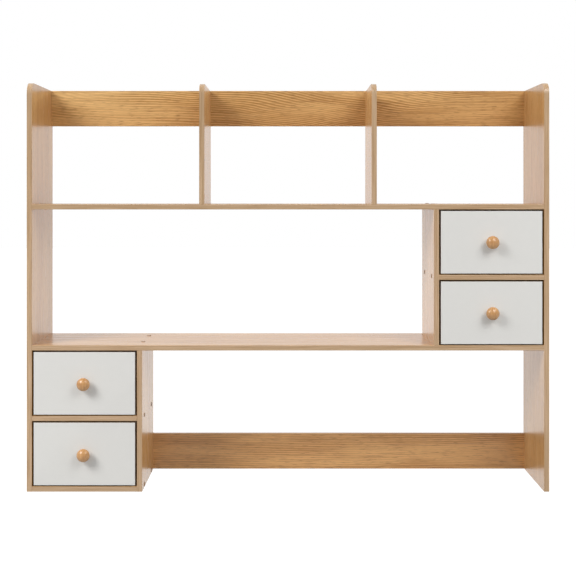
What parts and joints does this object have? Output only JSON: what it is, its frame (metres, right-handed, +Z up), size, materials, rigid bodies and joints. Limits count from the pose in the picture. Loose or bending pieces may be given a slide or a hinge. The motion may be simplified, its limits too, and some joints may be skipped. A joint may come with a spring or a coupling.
{
  "type": "desk hutch",
  "caption": "Desk hutch of oak-look boards: cubbies over two long shelves, with pull-out drawers low on the left and high on the right.",
  "frame": {"origin": "middle of the hutch's bounding box in plan, on the surface that it stands on", "axes": "+X to the user's right along the shelves, drawer fronts face -Y, +Z up"},
  "size_m": [1.2024, 0.267, 0.94],
  "materials": {
    "oak_laminate": "satin oak-look laminate on particle board, matching edge band",
    "white_laminate": "off-white satin laminate on particle board",
    "hardboard": "thin brown hardboard, smooth face",
    "beech": "turned beech, clear satin lacquer",
    "screw_steel": "zinc plated",
    "zinc_fitting": "die-cast zinc",
    "cap_plastic": "moulded brown-grey plastic"
  },
  "bodies": {
    "carcass": {"left_side_panel": "oak_laminate", "right_side_panel": "oak_laminate", "top_shelf": "oak_laminate", "middle_shelf": "oak_laminate", "left_bottom_panel": "oak_laminate", "left_drawer_shelf": "oak_laminate", "right_drawer_shelf": "oak_laminate", "left_drawer_partition": "oak_laminate", "right_drawer_partition": "oak_laminate", "top_back_rail": "oak_laminate", "bottom_back_rail": "oak_laminate", "left_upper_divider": "oak_laminate", "right_upper_divider": "oak_laminate", "left_back_board": "hardboard", "right_back_board": "hardboard", "side_panel_screws": "screw_steel", "inner_screws": "screw_steel", "screw_caps": "cap_plastic", "carcass_dowels": "beech"},
    "left_lower_drawer": {"left_lower_drawer_front": "white_laminate", "left_lower_drawer_left_side": "oak_laminate", "left_lower_drawer_right_side": "oak_laminate", "left_lower_drawer_back": "oak_laminate", "left_lower_drawer_bottom": "hardboard", "left_lower_drawer_knob": "beech", "left_lower_drawer_knob_screw": "screw_steel", "left_lower_drawer_cam_locks": "zinc_fitting", "left_lower_drawer_cam_bolts": "zinc_fitting", "left_lower_drawer_back_screws": "screw_steel"},
    "left_upper_drawer": {"left_upper_drawer_front": "white_laminate", "left_upper_drawer_left_side": "oak_laminate", "left_upper_drawer_right_side": "oak_laminate", "left_upper_drawer_back": "oak_laminate", "left_upper_drawer_bottom": "hardboard", "left_upper_drawer_knob": "beech", "left_upper_drawer_knob_screw": "screw_steel", "left_upper_drawer_cam_locks": "zinc_fitting", "left_upper_drawer_cam_bolts": "zinc_fitting", "left_upper_drawer_back_screws": "screw_steel"},
    "right_lower_drawer": {"right_lower_drawer_front": "white_laminate", "right_lower_drawer_left_side": "oak_laminate", "right_lower_drawer_right_side": "oak_laminate", "right_lower_drawer_back": "oak_laminate", "right_lower_drawer_bottom": "hardboard", "right_lower_drawer_knob": "beech", "right_lower_drawer_knob_screw": "screw_steel", "right_lower_drawer_cam_locks": "zinc_fitting", "right_lower_drawer_cam_bolts": "zinc_fitting", "right_lower_drawer_back_screws": "screw_steel"},
    "right_upper_drawer": {"right_upper_drawer_front": "white_laminate", "right_upper_drawer_left_side": "oak_laminate", "right_upper_drawer_right_side": "oak_laminate", "right_upper_drawer_back": "oak_laminate", "right_upper_drawer_bottom": "hardboard", "right_upper_drawer_knob": "beech", "right_upper_drawer_knob_screw": "screw_steel", "right_upper_drawer_cam_locks": "zinc_fitting", "right_upper_drawer_cam_bolts": "zinc_fitting", "right_upper_drawer_back_screws": "screw_steel"}
  },
  "joints": [
    {"name": "left_lower_drawer_slide", "type": "slide", "parent": "carcass", "child": "left_lower_drawer", "axis": [0, -1, 0], "range_m": [0, 0.16]},
    {"name": "left_upper_drawer_slide", "type": "slide", "parent": "carcass", "child": "left_upper_drawer", "axis": [0, -1, 0], "range_m": [0, 0.16]},
    {"name": "right_lower_drawer_slide", "type": "slide", "parent": "carcass", "child": "right_lower_drawer", "axis": [0, -1, 0], "range_m": [0, 0.16]},
    {"name": "right_upper_drawer_slide", "type": "slide", "parent": "carcass", "child": "right_upper_drawer", "axis": [0, -1, 0], "range_m": [0, 0.16]}
  ]
}
